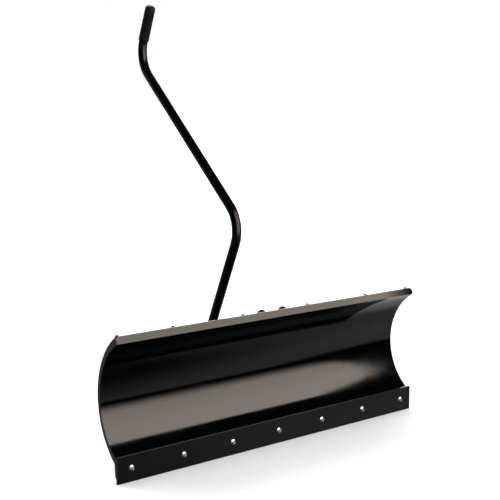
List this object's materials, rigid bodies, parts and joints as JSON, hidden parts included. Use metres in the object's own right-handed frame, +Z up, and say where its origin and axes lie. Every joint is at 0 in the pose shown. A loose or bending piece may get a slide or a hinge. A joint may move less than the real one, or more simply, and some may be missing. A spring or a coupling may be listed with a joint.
{
  "type": "snow plow blade",
  "caption": "Curved front snow blade on a push frame, with trip springs, a pin-locked swing head and a bent hand lever that lifts it.",
  "frame": {"origin": "middle of the cutting edge's bottom face, on the ground", "axes": "+X along the blade, to the right as seen from the front; +Y back towards the machine; +Z up"},
  "size_m": [1.178, 0.5747, 1.374],
  "materials": {
    "black_powder_coat": "gloss",
    "zinc_plate": "satin",
    "rubber_grip": "matte",
    "spring_steel": "satin"
  },
  "bodies": {
    "mount_frame": {"left_mount_plate": "black_powder_coat", "right_mount_plate": "black_powder_coat", "front_cross_tube": "black_powder_coat", "rear_cross_tube": "black_powder_coat", "hitch_pins": "zinc_plate", "hitch_pin_clips": "zinc_plate", "hitch_washers": "zinc_plate", "lever_pivot_bolt": "zinc_plate", "lever_pivot_nut": "zinc_plate", "lever_spacer": "zinc_plate"},
    "push_frame": {"left_push_arm": "black_powder_coat", "right_push_arm": "black_powder_coat", "index_plate": "black_powder_coat", "nose_plate": "black_powder_coat", "kingpin_tube": "black_powder_coat", "push_cross_tube": "black_powder_coat", "lift_stud": "black_powder_coat", "lift_stud_clip": "zinc_plate"},
    "swing_head": {"pivot_channel": "black_powder_coat", "left_hinge_cheek": "black_powder_coat", "right_hinge_cheek": "black_powder_coat", "hinge_pins": "zinc_plate", "hinge_pin_clips": "zinc_plate", "tongue_plate": "black_powder_coat", "lower_ear_plate": "black_powder_coat", "spring_mast": "black_powder_coat", "kingpin": "zinc_plate", "kingpin_nut": "zinc_plate", "kingpin_washers": "zinc_plate", "lock_pin_guide": "black_powder_coat", "lock_pin_spring": "spring_steel", "left_trip_spring": "spring_steel", "right_trip_spring": "spring_steel"},
    "lock_pin": {"lock_pin": "zinc_plate", "lock_pin_handle": "zinc_plate"},
    "blade": {"moldboard": "black_powder_coat", "scraper_bar": "black_powder_coat", "scraper_bolts": "zinc_plate", "scraper_nuts": "zinc_plate", "left_end_rib": "black_powder_coat", "left_outer_rib": "black_powder_coat", "left_inner_rib": "black_powder_coat", "right_inner_rib": "black_powder_coat", "right_outer_rib": "black_powder_coat", "right_end_rib": "black_powder_coat", "left_spring_lug": "black_powder_coat", "right_spring_lug": "black_powder_coat", "left_shoe_bracket": "black_powder_coat", "right_shoe_bracket": "black_powder_coat", "shoe_bolts": "zinc_plate", "shoe_nuts": "zinc_plate"},
    "left_shoe": {"left_skid_shoe": "black_powder_coat"},
    "right_shoe": {"right_skid_shoe": "black_powder_coat"},
    "lift_lever": {"lever_tube": "black_powder_coat", "lever_grip": "rubber_grip", "lever_crank": "black_powder_coat", "crank_pin": "zinc_plate", "crank_pin_clip": "zinc_plate"},
    "lift_link": {"lift_link": "black_powder_coat"}
  },
  "joints": [
    {"name": "frame_lift", "type": "hinge", "parent": "mount_frame", "child": "push_frame", "pos_m": [0, 0.477, 0.09], "axis": [-1, 0, 0], "range_deg": [0, 13.2]},
    {"name": "lever_pull", "type": "hinge", "parent": "mount_frame", "child": "lift_lever", "pos_m": [-0.13, 0.327, 0.166], "axis": [-1, 0, 0], "range_deg": [0, 36]},
    {"name": "link_swing", "type": "hinge", "parent": "lift_lever", "child": "lift_link", "pos_m": [-0.1215, 0.2462, 0.1397], "axis": [-1, 0, 0], "range_deg": [-44.5, 0]},
    {"name": "blade_angle", "type": "hinge", "parent": "push_frame", "child": "swing_head", "pos_m": [0, 0.197, 0.09], "axis": [0, 0, 1], "range_deg": [-25, 25]},
    {"name": "trip_hinge", "type": "hinge", "parent": "swing_head", "child": "blade", "pos_m": [0, 0.054, 0.09], "axis": [1, 0, 0], "range_deg": [0, 30], "stiffness_Nm_per_rad": 120, "springref_deg": -34.38, "deforming": ["left_trip_spring", "right_trip_spring"]},
    {"name": "lock_pin_slide", "type": "slide", "parent": "swing_head", "child": "lock_pin", "axis": [0, 0, 1], "range_m": [-0.012, 0], "deforming": ["lock_pin_spring"]},
    {"name": "left_shoe_height", "type": "slide", "parent": "blade", "child": "left_shoe", "axis": [0, 0, 1], "range_m": [-0.012, 0.012]},
    {"name": "right_shoe_height", "type": "slide", "parent": "blade", "child": "right_shoe", "axis": [0, 0, 1], "range_m": [-0.012, 0.012]}
  ],
  "couplings": [
    {"joint": "lever_pull", "follows": "frame_lift", "ratio": 2.727},
    {"joint": "link_swing", "follows": "frame_lift", "ratio": -3.371}
  ]
}
